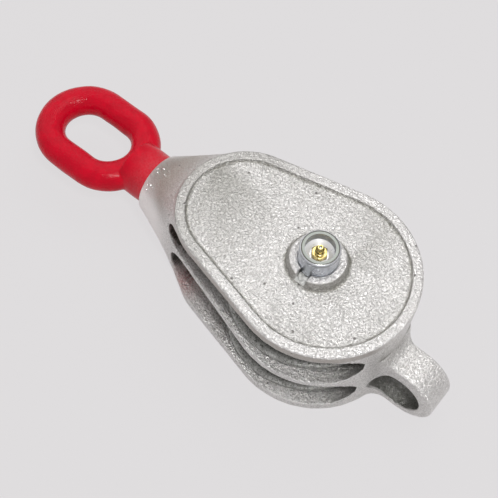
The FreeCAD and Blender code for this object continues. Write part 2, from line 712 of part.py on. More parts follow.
def parts():
    """Every piece by its node name."""
    shapes = {"body_casting": body_casting(), "sheave_pin": sheave_pin(),
              "pin_lock_key": pin_lock_key(), "pin_end_washer": pin_end_washer(),
              "pin_retaining_ring": pin_retaining_ring(), "grease_nipple": grease_nipple(),
              "nipple_ball": nipple_ball(), "nipple_spring": nipple_spring(),
              "swivel_eye": swivel_eye(), "swivel_bush": swivel_bush(),
              "swivel_thrust_washer": swivel_thrust_washer(), "swivel_nut": swivel_nut(),
              "swivel_split_pin": swivel_split_pin()}
    for side, slot_z, outward in (("front", front_slot_z, 1), ("rear", rear_slot_z, -1)):
        shapes[side + "_sheave"] = sheave(slot_z)
        shapes[side + "_sheave_bush"] = sheave_bush(slot_z)
        pad = slot_height / 2 - inner_boss_height
        upper = slot_z + pad - thrust_washer_thickness
        lower = slot_z - pad
        outer_z, inner_z = (upper, lower) if outward > 0 else (lower, upper)
        shapes[side + "_outer_thrust_washer"] = thrust_washer(outer_z)
        shapes[side + "_inner_thrust_washer"] = thrust_washer(inner_z)
    return shapes


os.makedirs("parts", exist_ok=True)
for name, shape in sorted(parts().items()):
    shape.exportStep("parts/" + name + ".step")
    print(name, "solids", len(shape.Solids), "valid", shape.isValid(), "volume", round(shape.Volume))
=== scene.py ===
import logging
import math
from dataclasses import dataclass
from enum import Enum

import bmesh
import bpy
import numpy as np
from mathutils import Matrix, Vector, noise


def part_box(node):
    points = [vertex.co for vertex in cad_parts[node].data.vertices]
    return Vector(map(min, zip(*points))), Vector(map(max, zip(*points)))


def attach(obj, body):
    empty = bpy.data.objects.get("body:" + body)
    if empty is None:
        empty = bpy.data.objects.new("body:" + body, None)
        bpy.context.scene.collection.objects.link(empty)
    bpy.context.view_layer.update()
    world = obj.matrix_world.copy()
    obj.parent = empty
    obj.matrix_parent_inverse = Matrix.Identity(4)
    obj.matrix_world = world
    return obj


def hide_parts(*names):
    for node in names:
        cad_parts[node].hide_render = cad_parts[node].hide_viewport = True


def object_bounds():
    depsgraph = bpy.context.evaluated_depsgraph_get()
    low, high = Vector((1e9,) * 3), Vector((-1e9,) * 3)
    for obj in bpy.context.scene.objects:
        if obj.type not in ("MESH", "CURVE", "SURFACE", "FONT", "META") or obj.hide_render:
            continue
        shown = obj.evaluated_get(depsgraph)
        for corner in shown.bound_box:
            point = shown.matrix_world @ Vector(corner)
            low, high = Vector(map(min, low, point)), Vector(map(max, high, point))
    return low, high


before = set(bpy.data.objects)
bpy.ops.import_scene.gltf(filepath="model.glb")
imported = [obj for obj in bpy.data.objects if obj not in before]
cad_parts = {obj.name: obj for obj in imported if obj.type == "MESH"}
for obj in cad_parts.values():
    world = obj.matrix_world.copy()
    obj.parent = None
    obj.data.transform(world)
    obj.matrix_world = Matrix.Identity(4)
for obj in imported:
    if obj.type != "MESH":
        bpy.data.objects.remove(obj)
cad_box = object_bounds()

Colour = tuple[float, float, float, float]
Place = tuple[float, float, float]
Span = tuple[float, float]
Array = np.ndarray
Material = bpy.types.Material
Socket = bpy.types.NodeSocket
log = logging.getLogger("pulley_block")
MM = 0.001


def mm(*sizes: float) -> tuple[float, ...]:
    """Sizes in millimetres as metres."""
    return tuple(size * MM for size in sizes)


def put(name: str, data: bpy.types.ID) -> bpy.types.Object:
    """Makes an object in the scene.

    Args:
        name: Its name.
        data: Its mesh, light or camera.

    Returns:
        The object.
    """
    made = bpy.data.objects.new(name, data)
    bpy.context.scene.collection.objects.link(made)
    return made


class NodeKit:
    """Adds nodes to one node tree."""

    def __init__(self, tree: bpy.types.NodeTree) -> None:
        """Keeps the tree that the nodes go into."""
        self.tree = tree

    def node(self, kind: str, values: dict | None = None, **settings: object) -> bpy.types.Node:
        """Adds one node.

        Args:
            kind: Blender's name for the node's type.
            values: By socket name or number: a value, a Field, a socket, or a node's first output.
            settings: Attributes that are set first.

        Returns:
            The node.
        """
        made = self.tree.nodes.new(kind)
        for name, value in settings.items():
            setattr(made, name, value)
        for key, value in (values or {}).items():
            if isinstance(value, Field):
                value = value.socket
            if isinstance(value, bpy.types.Node):
                value = value.outputs[0]
            if isinstance(value, Socket):
                self.tree.links.new(value, made.inputs[key])
            else:
                made.inputs[key].default_value = value
        return made

    def split(self, vector: Socket) -> list["Field"]:
        """A vector's three parts."""
        return [Field(self, part) for part in self.node("ShaderNodeSeparateXYZ", {0: vector}).outputs]


class Field:
    """A number that varies over a surface, for use in sums."""

    def __init__(self, kit: NodeKit, socket: Socket) -> None:
        """Keeps the socket that gives the number."""
        self.kit = kit
        self.socket = socket

    def _join(self, operation: str, first: object, second: object = 0.0) -> "Field":
        """One Math node on two values or links."""
        made = self.kit.node("ShaderNodeMath", {0: first, 1: second}, operation=operation)
        return Field(self.kit, made.outputs[0])

    def __add__(self, other: object) -> "Field":
        """Sum."""
        return self._join("ADD", self, other)

    __radd__ = __add__

    def __sub__(self, other: object) -> "Field":
        """Difference."""
        return self._join("SUBTRACT", self, other)

    def __rsub__(self, other: object) -> "Field":
        """Difference from a plain number."""
        return self._join("SUBTRACT", other, self)

    def __mul__(self, other: object) -> "Field":
        """Product."""
        return self._join("MULTIPLY", self, other)

    def wave(self) -> "Field":
        """Sine of the number."""
        return self._join("SINE", self)

    def root(self) -> "Field":
        """Square root."""
        return self._join("SQRT", self)

    def ramp(self, low: float, high: float, start: float = 0.0, end: float = 1.0) -> "Field":
        """Smooth step from start, at and before low, to end, at and past high."""
        made = self.kit.node("ShaderNodeMapRange", {"Value": self, "From Min": low, "From Max": high,
                                                    "To Min": start, "To Max": end},
                             interpolation_type="SMOOTHSTEP")
        return Field(self.kit, made.outputs["Result"])

    def fall(self, low: float, high: float) -> "Field":
        """Smooth step from 1 down to 0."""
        return self.ramp(low, high, 1.0, 0.0)


def length(*parts: Field) -> Field:
    """Length of a vector from its parts."""
    return sum(part * part for part in parts).root()


def fade(values: Array, start: float, width: float) -> Array:
    """0 up to the start and 1 from a width past it, with a straight rise between."""
    return np.clip((values - start) / width, 0.0, 1.0)


@dataclass(frozen=True)
class Noise:
    """Noise: lumps per metre, its finer layers, their share, and how far the lumps are pulled about."""

    scale: float
    detail: float = 2.0
    rough: float = 0.5
    warp: float = 0.0


@dataclass(frozen=True)
class Stain:
    """A tint: its colour, its strength, and how much of that the grain takes away."""

    colour: Colour
    full: float = 1.0
    loss: float = 0.0


class Surface(NodeKit):
    """One material's nodes, with the textures that the finishes share."""

    def __init__(self, name: str) -> None:
        """Starts an empty material.

        Args:
            name: The material's name.
        """
        self.material = bpy.data.materials.new(name)
        self.material.use_nodes = True
        super().__init__(self.material.node_tree)
        self.tree.nodes.clear()
        self.place = self.node("ShaderNodeTexCoord").outputs["Object"]
        self.x, self.y, self.z = self.axes = self.split(self.place)

    def cloud(self, lumps: Noise) -> Field:
        """Noise, a number round 0.5."""
        made = self.node("ShaderNodeTexNoise",
                         {0: self.place, "Scale": lumps.scale, "Detail": lumps.detail,
                          "Roughness": lumps.rough, "Distortion": lumps.warp})
        return Field(self, made.outputs["Fac"])

    def cells(self, scale: float) -> Field:
        """Distance to the nearest of scattered points, so many per metre."""
        made = self.node("ShaderNodeTexVoronoi", {0: self.place, "Scale": scale})
        return Field(self, made.outputs["Distance"])

    def mark(self, name: str) -> Field:
        """The number of that name that the mesh carries at its corner points."""
        return Field(self, self.node("ShaderNodeAttribute", attribute_name=name).outputs["Fac"])

    def spot(self, middle: Place, radius: float) -> Field:
        """A soft ball: 1 at its middle, 0 at its radius."""
        away = length(*(part - at for part, at in zip(self.axes, middle)))
        return away.fall(0.0, radius)

    def band(self, value: Field, low: float, high: float, soft: float) -> Field:
        """1 where a value is between low and high, 0 outside them, with soft edges."""
        return value.ramp(low - soft, low) * value.fall(high, high + soft)

    def blend(self, share: Field, first: object, second: object) -> Socket:
        """Mix of two colours: the first at 0, the second at 1."""
        made = self.node("ShaderNodeMix", {0: share, 6: first, 7: second}, data_type="RGBA")
        return made.outputs[2]

    def stained(self, colour: object, *marks: tuple) -> Socket:
        """Lays stains over a colour.

        Args:
            colour: What lies under them all.
            marks: For each stain its share, the stain, and the grain that breaks it up if one does.

        Returns:
            The colour socket.
        """
        for share, stain, *grain in marks:
            strength = stain.full - grain[0] * stain.loss if grain else stain.full
            colour = self.blend(share * strength, colour, stain.colour)
        return colour

    def finish(self, colour: object, metal: object, rough: object, height: Field, depth: float,
               mirror: float = 0.5) -> Material:
        """Closes the material with one shader.

        Args:
            colour: Its colour.
            metal: How metallic it is.
            rough: Its roughness.
            height: Its relief, of which 1 stands for the depth.
            depth: Depth of the relief in metres.
            mirror: How strongly it shines where it isn't metal.

        Returns:
            The material.
        """
        bump = self.node("ShaderNodeBump", {"Height": height, "Distance": depth})
        shader = self.node("ShaderNodeBsdfPrincipled",
                           {"Base Color": colour, "Metallic": metal, "Roughness": rough, "Normal": bump,
                            "Specular IOR Level": mirror})
        self.node("ShaderNodeOutputMaterial", {0: shader})
        return self.material


@dataclass(frozen=True)
class GalvanisedCasting:
    """Hot-dip zinc over a sand casting: rippled and pitted, smoother on the head, browner on its upper
    part, with painted shade and painted highlights in many places.
    """

    name: str = "galvanised_casting"
    pale: Colour = (0.81, 0.795, 0.78, 1.0)
    dull: Colour = (0.60, 0.585, 0.57, 1.0)
    shade: Colour = (0.20, 0.195, 0.165, 1.0)
    dirt: Stain = Stain(shade, 0.56)
    # Brown tint on the head's upper part, which also paints a dark reflection there.
    head_top_tint_and_shade: Stain = Stain((0.34, 0.295, 0.26, 1.0), 1.15, 0.6)
    # Painted light on the head's lower part: a painted reflection of the lit floor.
    head_low_painted_light: Stain = Stain((0.93, 0.895, 0.88, 1.0), 1.1, 0.4)
    # Painted shade along the head's upper edge beside the collar.
    lip_shade: Stain = Stain(shade, 1.2, 0.6)
    # Painted shade deep in the sheave slots.
    slot_shade: Stain = Stain((0.11, 0.11, 0.095, 1.0), 1.30, 0.7)
    # Painted shade, taupe-tinted, on the front cheek's outer side wall.
    side_wall_shade: Stain = Stain((0.43, 0.395, 0.36, 1.0), 1.15, 0.6)
    # Painted shade on the raised rim towards the head.
    rim_shade: Stain = Stain(shade, 0.60, 0.5)
    # Painted shade on the boss's sloped side.
    boss_side_shade: Stain = Stain(shade, 0.75, 0.6)
    overspray: Stain = Stain((0.40, 0.13, 0.12, 1.0), 0.8)
    hole_shade: Stain = Stain((0.13, 0.13, 0.115, 1.0), 1.1, 0.5)
    # Painted shade in the key notch beside the pin.
    notch_shade: Stain = Stain((0.045, 0.042, 0.035, 1.0), 0.95)
    pit: Stain = Stain((0.20, 0.19, 0.18, 1.0), 0.85)
    # Ridges lightened: painted highlight on rounded edges, and wear.
    ridge_highlight_and_wear: Stain = Stain(pale, 0.5)
    # Painted shade in hollows and at the feet of walls.
    crevice_shade: Stain = Stain(shade, 0.85)
    metal: float = 0.85
    dull_head: float = 0.50
    gloss: float = 0.32
    gloss_drift: float = 0.06
    pit_rough: float = 0.30
    head_rough: float = 0.05
    ripple: Noise = Noise(460.0, 3.0, 0.55, 0.7)
    grain: Noise = Noise(980.0, 2.0, 0.6)
    drift: Noise = Noise(38.0, 2.0, 0.5, 0.4)
    grit: Noise = Noise(760.0, 3.0, 0.65, 0.5)
    pitting: float = 62.0
    pit_size: Span = (0.045, 0.075)
    coarse_share: float = 0.40
    drift_share: float = 0.05
    speckle_span: Span = (0.40, 0.60)
    grit_span: Span = (0.56, 0.66)
    side_grit: float = 0.03
    slot_grit: float = 0.07
    spared: float = 0.40
    ripple_depth: float = 2.4 * MM
    coarse_rise: float = 0.66
    fine_rise: float = 0.16
    dirt_sink: float = 0.08
    pit_sink: float = 0.18
    head_smooth: float = 0.30
    panel_level: Span = mm(98.5, 100.5)
    rim_level: Span = mm(102.3, 103.3)
    rim_start: Span = mm(30.0, 90.0)
    cheek_wall: Span = mm(95.6, 102.0)
    wall_edge: float = 0.8 * MM
    wall_depth: Span = (0.02, 0.10)
    wall_head_end: Span = mm(90.0, 105.0)
    wall_lug_end: Span = mm(-78.0, -70.0)
    head_span: Span = mm(108.0, 136.0)
    lip: Span = mm(134.0, 157.0)
    brown_level: Span = mm(66.0, 88.0)
    rear_slot: Span = mm(9.2, 49.3)
    front_slot: Span = mm(54.7, 94.8)
    slot_edge: float = 0.3 * MM
    slot_depth: Span = (0.22, 0.75)
    slot_end: Span = mm(90.0, 104.0)
    # Share of the painted slot shade away from the slots' closed end.
    slot_mouth_shade: float = 0.65
    lug: Span = mm(-90.0, -78.0)
    convexity_end: Span = mm(0.0, 70.0)
    convexity_span: Span = (0.5, 1.0)
    overspray_place: Place = (0.096, 0.040, 0.012)
    overspray_radius: float = 22.0 * MM
    overspray_span: Span = (0.25, 0.70)
    hole_middle: Span = mm(-95.1, 25.6)
    hole_wall: Span = mm(20.2, 21.0)
    boss_level: Span = mm(101.0, 101.5)
    boss_side: Span = mm(21.3, 24.3)
    notch_half: float = 4.8 * MM
    notch_edge: float = 0.2 * MM
    notch_end: Span = mm(15.5, 19.5)
    notch_start: Span = mm(0.0, 5.0)

    def material(self) -> Material:
        """Makes the finish.

        Returns:
            The material.
        """
        s = Surface(self.name)
        coarse, fine = s.cloud(self.ripple), s.cloud(self.grain)
        drift = s.cloud(self.drift) - 0.5
        inner = s.mark("inner")
        head, high = s.x.ramp(*self.head_span), s.z.ramp(*self.brown_level)
        pit = s.cells(self.pitting).fall(*self.pit_size)
        slots = s.band(s.z, *self.rear_slot, self.slot_edge) + s.band(s.z, *self.front_slot, self.slot_edge)
        # Painted shade inside the slots, more at depth and at the closed end.
        inside = slots * inner.ramp(*self.slot_depth) * s.x.ramp(*self.slot_end, self.slot_mouth_shade, 1.0)
        side = (s.z.ramp(*self.panel_level, 1.0, self.spared) * s.x.ramp(*self.head_span, 1.0, self.spared)
                * s.x.ramp(*self.lug, self.spared, 1.0))
        specks = side * (s.cloud(self.grit) + side * self.side_grit
                         + inside * self.slot_grit).ramp(*self.grit_span)
        # The cheek's outer side wall below the rim, for its painted shade.
        wall = (s.band(s.z, *self.cheek_wall, self.wall_edge) * inner.fall(*self.wall_depth)
                * s.x.fall(*self.wall_head_end) * s.x.ramp(*self.wall_lug_end))
        # The rim towards the head, and below it the boss's sloped side, get painted shade.
        rim = s.z.ramp(*self.rim_level) * s.x.ramp(*self.rim_start)
        on_boss = s.z.ramp(*self.boss_level)
        draft = s.band(length(s.x, s.y), *self.boss_side, self.slot_edge) * on_boss
        red = s.spot(self.overspray_place, self.overspray_radius) * fine.ramp(*self.overspray_span)
        from_hole = length(s.x - self.hole_middle[0], s.z - self.hole_middle[1])
        in_hole = from_hole.fall(*self.hole_wall)
        # The key notch beside the pin, for its painted shade.
        notch = (s.band(s.x, -self.notch_half, self.notch_half, self.notch_edge) * on_boss
                 * s.y.fall(*self.notch_end) * s.y.ramp(*self.notch_start))
        # Ridges, for the painted highlight with wear.
        convexity = (s.mark("convexity") * s.x.fall(*self.convexity_end)).ramp(*self.convexity_span)
        speckle = (coarse * self.coarse_share + fine * (1.0 - self.coarse_share)
                   + drift * self.drift_share).ramp(*self.speckle_span)
        # Painted shade: lip, slots, side wall, rim, boss side, becket hole, notch, crevices; painted light:
        # lower head, ridges; the head's brown also paints shade.
        colour = s.stained(
            s.blend(speckle, self.dull, self.pale), (specks, self.dirt), (head * high, self.head_top_tint_and_shade, fine),
            (head * (1.0 - high), self.head_low_painted_light, fine), (s.x.ramp(*self.lip) * high, self.lip_shade, fine),
            (inside, self.slot_shade, coarse), (wall, self.side_wall_shade, coarse), (rim, self.rim_shade, fine),
            (draft, self.boss_side_shade, fine), (red, self.overspray), (in_hole, self.hole_shade, coarse),
            (notch, self.notch_shade), (pit, self.pit), (convexity, self.ridge_highlight_and_wear), (s.mark("crevice_shade"), self.crevice_shade))
        height = ((coarse * self.coarse_rise + fine * self.fine_rise - specks * self.dirt_sink)
                  * (1.0 - head * self.head_smooth) - pit * self.pit_sink)
        rough = self.gloss + drift * self.gloss_drift + pit * self.pit_rough + head * self.head_rough
        return s.finish(colour, self.metal - head * self.dull_head, rough, height, self.ripple_depth)


@dataclass(frozen=True)
class GalvanisedSheave:
    """Zinc on the sheaves: the same bath, greyer, with painted shade deep in the rope grooves."""

    name: str = "galvanised_sheave"
    pale: Colour = (0.52, 0.52, 0.50, 1.0)
    dull: Colour = (0.30, 0.30, 0.285, 1.0)
    # Painted shade from the web out through the rope groove.
    groove_shade: Stain = Stain((0.045, 0.045, 0.038, 1.0))
    specks: Stain = Stain(groove_shade.colour, 0.8)
    metal: float = 0.85
    gloss: float = 0.40
    gloss_drift: float = 0.3
    ripple: Noise = Noise(360.0, 3.0, 0.55, 0.6)
    grain: Noise = Noise(800.0, 2.0, 0.6)
    drift: Noise = Noise(60.0, 2.0, 0.5, 0.3)
    grit: Noise = Noise(760.0, 3.0, 0.65, 0.5)
    coarse_share: float = 0.6
    drift_share: float = 0.3
    speckle_span: Span = (0.38, 0.62)
    grit_span: Span = (0.54, 0.64)
    groove_shade_grit: float = 0.04
    ripple_depth: float = 0.5 * MM
    coarse_rise: float = 0.6
    fine_rise: float = 0.25
    groove: Span = mm(58.0, 66.5)
    web: Span = mm(40.0, 44.0)

    def material(self) -> Material:
        """Makes the finish.

        Returns:
            The material.
        """
        s = Surface(self.name)
        radius = length(s.x, s.y)
        coarse, fine = s.cloud(self.ripple), s.cloud(self.grain)
        drift = s.cloud(self.drift) - 0.5
        speckle = (coarse * self.coarse_share + fine * (1.0 - self.coarse_share)
                   + drift * self.drift_share).ramp(*self.speckle_span)
        # Painted shade deep in the groove, fading towards the rim.
        shaded_groove = radius.fall(*self.groove) * radius.ramp(*self.web)
        specks = (s.cloud(self.grit) + shaded_groove * self.groove_shade_grit).ramp(*self.grit_span)
        colour = s.stained(s.blend(speckle, self.dull, self.pale),
                           (specks, self.specks), (shaded_groove, self.groove_shade))
        height = coarse * self.coarse_rise + fine * self.fine_rise
        rough = self.gloss + drift * self.gloss_drift
        return s.finish(colour, self.metal, rough, height, self.ripple_depth)


@dataclass(frozen=True)
class RedEnamel:
    """Red enamel over a lumpy forging, with faint dust and a few worn spots."""

    name: str = "red_paint"
    paint: Colour = (0.57, 0.002, 0.018, 1.0)
    shade: Colour = (0.50, 0.002, 0.016, 1.0)
    primer: Stain = Stain((0.10, 0.07, 0.065, 1.0))
    dust: Stain = Stain((0.56, 0.18, 0.19, 1.0), 0.22)
    dusty: Span = mm(158.0, 180.0)
    dust_span: Span = (0.30, 0.70)
    dust_least: float = 0.4
    gloss: float = 0.17
    mirror: float = 0.14
    peel_rough: float = 0.2
    chip_rough: float = 0.4
    lump: Noise = Noise(120.0, 2.0, 0.5, 0.3)
    peel: Noise = Noise(620.0, 2.0, 0.55)
    chip: Noise = Noise(230.0, 3.0, 0.6, 0.8)
    tone_span: Span = (0.35, 0.65)
    chip_span: Span = (0.760, 0.775)
    lump_depth: float = 0.60 * MM
    lump_rise: float = 0.80
    peel_rise: float = 0.55
    chip_sink: float = 0.1

    def material(self) -> Material:
        """Makes the finish.

        Returns:
            The material.
        """
        s = Surface(self.name)
        broad, peel = s.cloud(self.lump), s.cloud(self.peel)
        chips = s.cloud(self.chip).ramp(*self.chip_span)
        dusty = s.x.fall(*self.dusty) * peel.ramp(*self.dust_span, self.dust_least, 1.0)
        colour = s.stained(s.blend(broad.ramp(*self.tone_span), self.shade, self.paint),
                           (chips, self.primer), (dusty, self.dust))
        height = broad * self.lump_rise + peel * self.peel_rise - chips * self.chip_sink
        rough = self.gloss + (peel - 0.5) * self.peel_rough + chips * self.chip_rough
        return s.finish(colour, 0.0, rough, height, self.lump_depth, self.mirror)


@dataclass(frozen=True)
class TurnedMetal:
    """Turned metal with faint rings round the pin axis."""

    name: str
    colour: Colour
    shade: Colour
    gloss: float = 0.3
    speck_rough: float = 0.3
    rings: float = 5200.0
    waver: Noise = Noise(90.0)
    waver_turn: float = 2.0
    speck: Noise = Noise(500.0, 3.0, 0.55)
    speck_span: Span = (0.38, 0.66)
    ring_depth: float = 0.012 * MM
    ring_rise: float = 0.5
    speck_rise: float = 1.5

    def material(self) -> Material:
        """Makes the finish.

        Returns:
            The material.
        """
        s = Surface(self.name)
        turned = (length(s.x, s.y) * self.rings + s.cloud(self.waver) * self.waver_turn).wave()
        tone = s.cloud(self.speck)
        height = turned * self.ring_rise + tone * self.speck_rise
        colour = s.blend(tone.ramp(*self.speck_span), self.shade, self.colour)
        return s.finish(colour, 1.0, self.gloss + (tone - 0.5) * self.speck_rough, height, self.ring_depth)


@dataclass(frozen=True)
class PlatedPin:
    """Plated steel of the pin: dull end face, bluish sides, bright cup floor, painted shade on the cup wall
    and a painted highlight on the bevel. Levels are over the face.
    """

    pin_top: float
    name: str = "zinc_steel_pin"
    side: Colour = (0.52, 0.545, 0.59, 1.0)
    face: Stain = Stain((0.235, 0.25, 0.23, 1.0))
    floor: Stain = Stain((0.90, 0.90, 0.92, 1.0))
    # Painted shade on the cup's inner wall.
    wall: Stain = Stain((0.25, 0.27, 0.30, 1.0))
    # Painted highlight on the bevel of the end face.
    bevel: Stain = Stain(floor.colour, 0.8)
    line: Stain = Stain((0.10, 0.10, 0.09, 1.0), 0.95)
    step: Stain = Stain(line.colour, 0.85)
    specks: Stain = Stain(wall.colour, 0.25)
    face_level: Span = mm(-0.35, -0.10)
    cup_edge: Span = mm(11.15, 11.40)
    cup_level: Span = mm(-11.5, -11.0)
    wall_level: Span = mm(-7.8, -7.1)
    bevel_radius: Span = mm(14.1, 14.5)
    bevel_level: Span = mm(-1.8, -1.6)
    line_radius: Span = mm(13.2, 13.9)
    line_level: Span = mm(-1.5, -1.0)
    line_edge: float = 0.15 * MM
    step_radius: Span = mm(14.0, 14.5)
    step_level: Span = mm(-2.3, -1.8)
    edge: float = 0.2 * MM
    metal: float = 0.95
    dull_floor: float = 0.55
    gloss: float = 0.30
    gloss_drift: float = 0.2
    wall_rough: float = 0.25
    speck: Noise = Noise(420.0, 3.0, 0.55)
    speck_span: Span = (0.60, 0.70)
    drift: Noise = Noise(110.0)
    turned: float = 5200.0
    drift_turn: float = 2.0
    turned_depth: float = 0.010 * MM
    turned_rise: float = 0.5
    speck_rise: float = 1.5

    def material(self) -> Material:
        """Makes the finish.

        Returns:
            The material.
        """
        s = Surface(self.name)
        radius, rise = length(s.x, s.y), s.z - self.pin_top
        tone, drift = s.cloud(self.speck), s.cloud(self.drift)
        cup = radius.fall(*self.cup_edge) * rise.ramp(*self.cup_level)
        # The cup's wall, for its painted shade, and below it the bevel, for its painted highlight.
        wall = cup * rise.ramp(*self.wall_level)
        bevel = s.band(radius, *self.bevel_radius, self.edge) * rise.ramp(*self.bevel_level)
        line = s.band(radius, *self.line_radius, self.line_edge) * rise.ramp(*self.line_level)
        step = s.band(rise, *self.step_level, self.edge) * radius.ramp(*self.step_radius)
        colour = s.stained(self.side, (rise.ramp(*self.face_level), self.face), (cup, self.floor),
                           (wall, self.wall), (bevel, self.bevel), (line, self.line), (step, self.step),
                           (tone.ramp(*self.speck_span), self.specks))
        rough = self.gloss + (drift - 0.5) * self.gloss_drift + wall * self.wall_rough
        turned = (radius * self.turned + drift * self.drift_turn).wave()
        height = turned * self.turned_rise + tone * self.speck_rise
        metal = self.metal - (cup - wall) * self.dull_floor
        return s.finish(colour, metal, rough, height, self.turned_depth)


@dataclass(frozen=True)
class BrassNipple:
    """Yellow brass of the nipple, with painted shade round its neck, at its foot and on its sides. Levels
    are over its tip.
    """

    tip: float
    name: str = "brass"
    bright: Colour = (0.84, 0.70, 0.32, 1.0)
    shade: Colour = (0.56, 0.44, 0.15, 1.0)
    # Painted shade round the neck, at the foot and on the hex sides.
    neck: Stain = Stain((0.09, 0.065, 0.025, 1.0), 0.85)
    foot: Stain = Stain(neck.colour, 0.8)
    sides: Stain = Stain(neck.colour, 0.55)
    neck_level: Span = mm(-6.6, -4.7)
    neck_edge: float = 0.3 * MM
    neck_radius: Span = mm(2.75, 2.95)
    foot_level: Span = mm(-11.2, -9.31)
    side_radius: Span = mm(5.4, 5.8)
    gloss: float = 0.24
    tone_rough: float = 0.3
    neck_rough: float = 0.2
    speck: Noise = Noise(700.0, 3.0, 0.55)
    speck_span: Span = (0.36, 0.62)
    speck_depth: float = 0.02 * MM

    def material(self) -> Material:
        """Makes the finish.

        Returns:
            The material.
        """
        s = Surface(self.name)
        radius, rise, tone = length(s.x, s.y), s.z - self.tip, s.cloud(self.speck)
        # The neck band, the foot and the outer sides get painted shade.
        neck = s.band(rise, *self.neck_level, self.neck_edge) * radius.fall(*self.neck_radius)
        colour = s.stained(s.blend(tone.ramp(*self.speck_span), self.shade, self.bright), (neck, self.neck),
                           (rise.fall(*self.foot_level), self.foot),
                           (radius.ramp(*self.side_radius), self.sides))
        rough = self.gloss + (tone - 0.5) * self.tone_rough + neck * self.neck_rough
        return s.finish(colour, 1.0, rough, tone, self.speck_depth)


class Metal(Enum):
    """Turned finishes of the small pieces."""

    BRIGHT_ZINC = TurnedMetal("bright_zinc", (0.97, 0.96, 0.94, 1.0), (0.88, 0.87, 0.85, 1.0), 0.22)
    ZINC_STEEL = TurnedMetal("zinc_steel", (0.72, 0.74, 0.77, 1.0), (0.52, 0.55, 0.60, 1.0), 0.26)
    WASHER_STEEL = TurnedMetal("washer_steel", (0.45, 0.45, 0.46, 1.0), (0.30, 0.30, 0.31, 1.0), 0.4)
    SPRING_STEEL = TurnedMetal("spring_steel", (0.34, 0.34, 0.36, 1.0), (0.20, 0.20, 0.22, 1.0), 0.35)
    BRONZE = TurnedMetal("bronze", (0.56, 0.38, 0.20, 1.0), (0.38, 0.25, 0.13, 1.0), 0.38)


